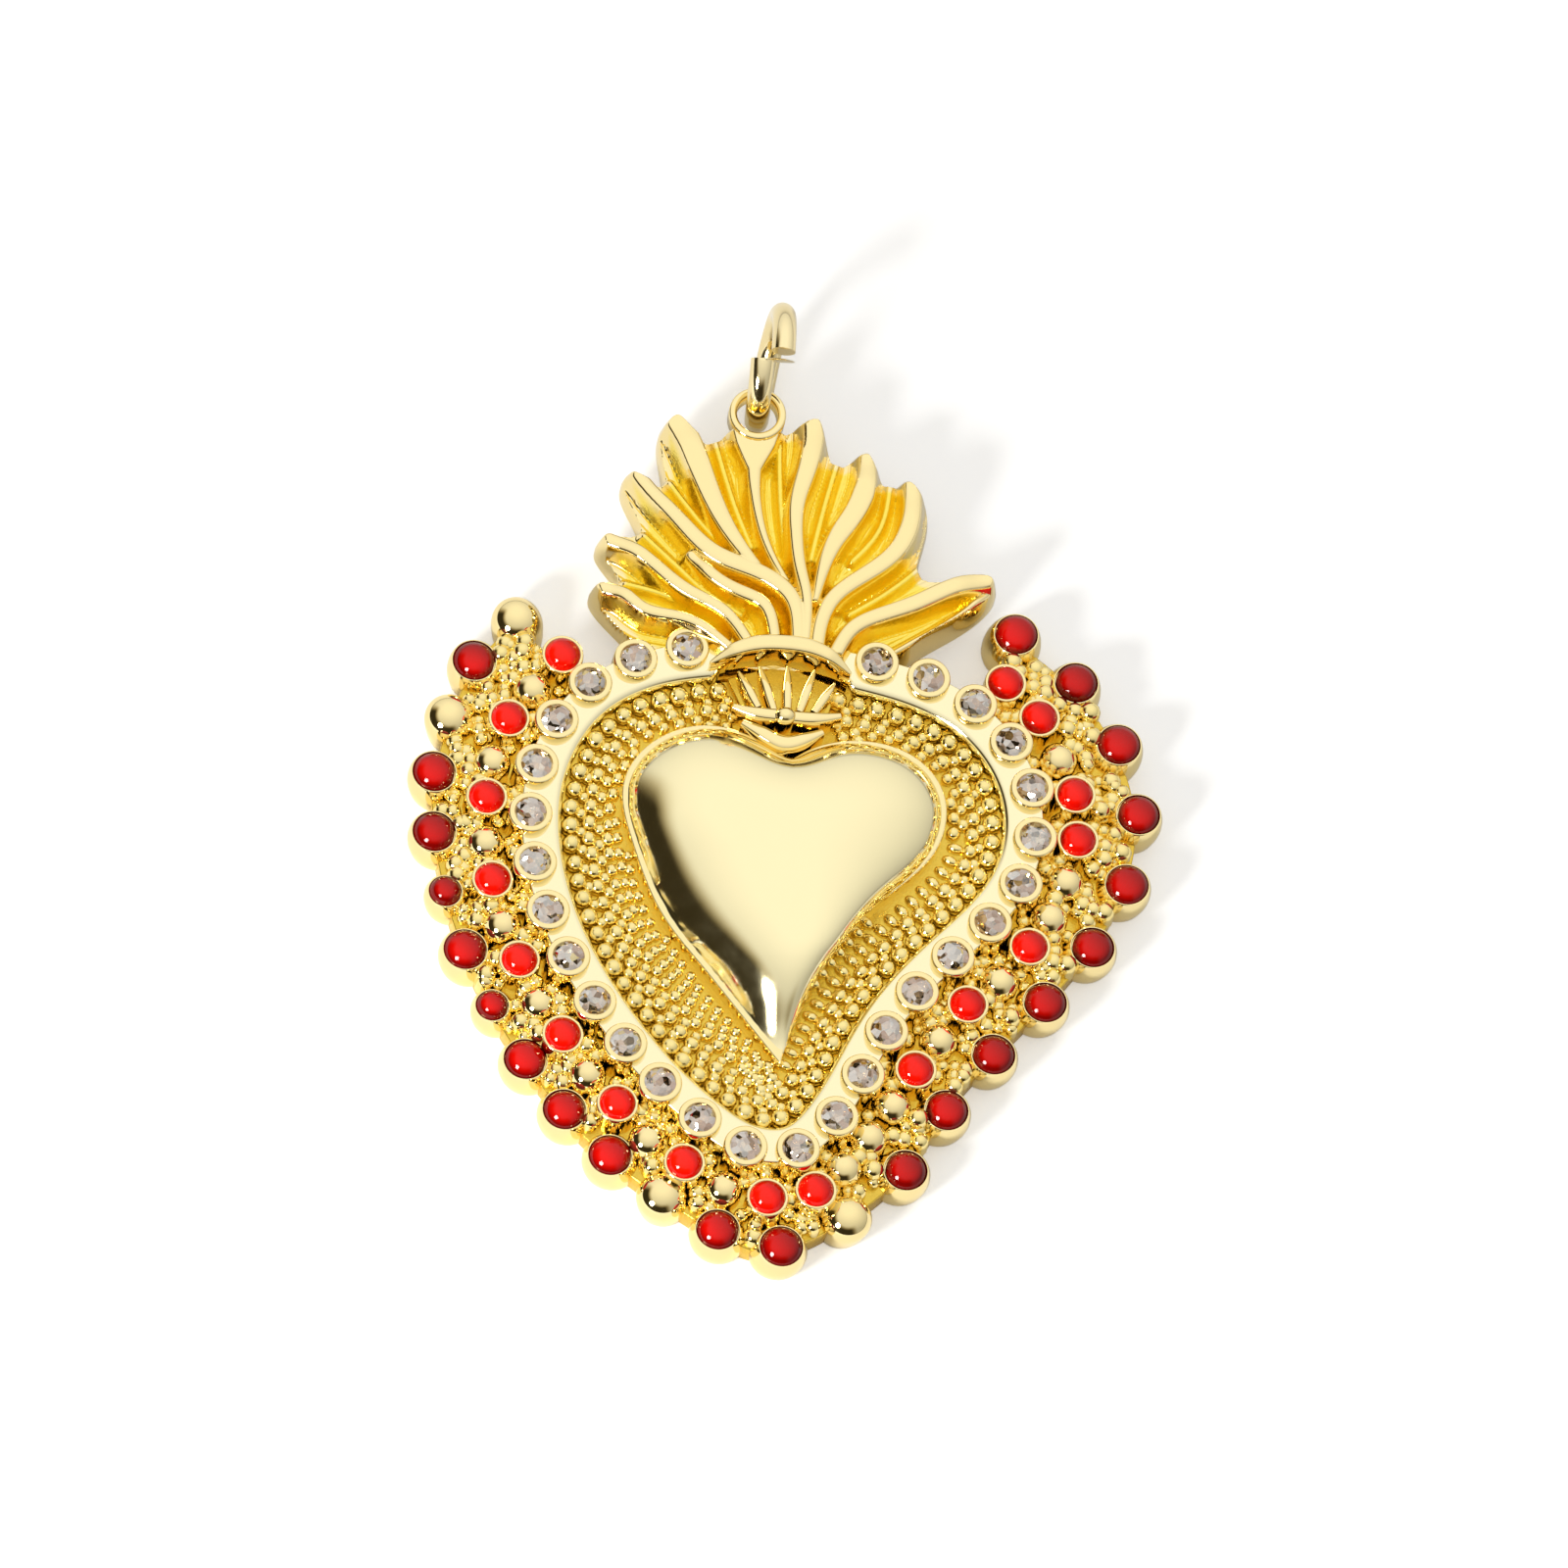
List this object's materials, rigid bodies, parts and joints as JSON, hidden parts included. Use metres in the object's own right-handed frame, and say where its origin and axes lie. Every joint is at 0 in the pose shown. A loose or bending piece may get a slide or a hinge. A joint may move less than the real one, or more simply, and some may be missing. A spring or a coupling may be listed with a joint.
{
  "type": "sacred heart pendant",
  "caption": "Cast gold-tone pendant: a puffed heart in a bead-grained channel, rows of clear stones and red enamel drops, a flame crown and an open jump ring.",
  "frame": {"origin": "on the flat back, behind the middle of the heart", "axes": "+Z out of the front, +Y towards the jump ring, +X to the right seen from the front"},
  "size_m": [0.0282, 0.0389, 0.005],
  "materials": {
    "gold_casting": "cast alloy, polished and gold plated",
    "ring_wire": "drawn wire, gold plated",
    "clear_stone": "faceted and polished clear stone",
    "bright_enamel": "translucent red enamel, domed and glossy",
    "dark_enamel": "deeper translucent red enamel, domed and glossy"
  },
  "bodies": {
    "pendant": {"clear_stone_01": "clear_stone", "clear_stone_02": "clear_stone", "clear_stone_03": "clear_stone", "clear_stone_04": "clear_stone", "clear_stone_05": "clear_stone", "clear_stone_06": "clear_stone", "clear_stone_07": "clear_stone", "clear_stone_08": "clear_stone", "clear_stone_09": "clear_stone", "clear_stone_10": "clear_stone", "clear_stone_11": "clear_stone", "clear_stone_12": "clear_stone", "clear_stone_13": "clear_stone", "clear_stone_14": "clear_stone", "clear_stone_15": "clear_stone", "clear_stone_16": "clear_stone", "clear_stone_17": "clear_stone", "clear_stone_18": "clear_stone", "clear_stone_19": "clear_stone", "clear_stone_20": "clear_stone", "clear_stone_21": "clear_stone", "clear_stone_22": "clear_stone", "clear_stone_23": "clear_stone", "clear_stone_24": "clear_stone", "clear_stone_25": "clear_stone", "clear_stone_26": "clear_stone", "clear_stone_27": "clear_stone", "clear_stone_28": "clear_stone", "inner_drops_left": "bright_enamel", "inner_drops_right": "bright_enamel", "outer_drop_01": "dark_enamel", "outer_drop_02": "dark_enamel", "outer_drop_03": "dark_enamel", "outer_drop_04": "dark_enamel", "outer_drop_05": "dark_enamel", "outer_drop_06": "dark_enamel", "outer_drop_07": "dark_enamel", "outer_drop_08": "dark_enamel", "outer_drop_09": "dark_enamel", "outer_drop_10": "dark_enamel", "outer_drop_11": "dark_enamel", "outer_drop_12": "dark_enamel", "outer_drop_13": "dark_enamel", "outer_drop_14": "dark_enamel", "outer_drop_15": "dark_enamel", "outer_drop_16": "dark_enamel", "outer_drop_17": "dark_enamel", "outer_drop_18": "dark_enamel", "outer_drop_19": "dark_enamel", "outer_drop_20": "dark_enamel", "outer_drop_21": "dark_enamel", "pendant_casting": "gold_casting"},
    "ring": {"jump_ring": "ring_wire"}
  },
  "joints": [
    {"name": "jump_ring_swing", "type": "hinge", "parent": "pendant", "child": "ring", "pos_m": [-0.00124, 0.01898, 0.0025], "axis": [0.9936, -0.1132, 0], "range_deg": [-30, 30]}
  ]
}
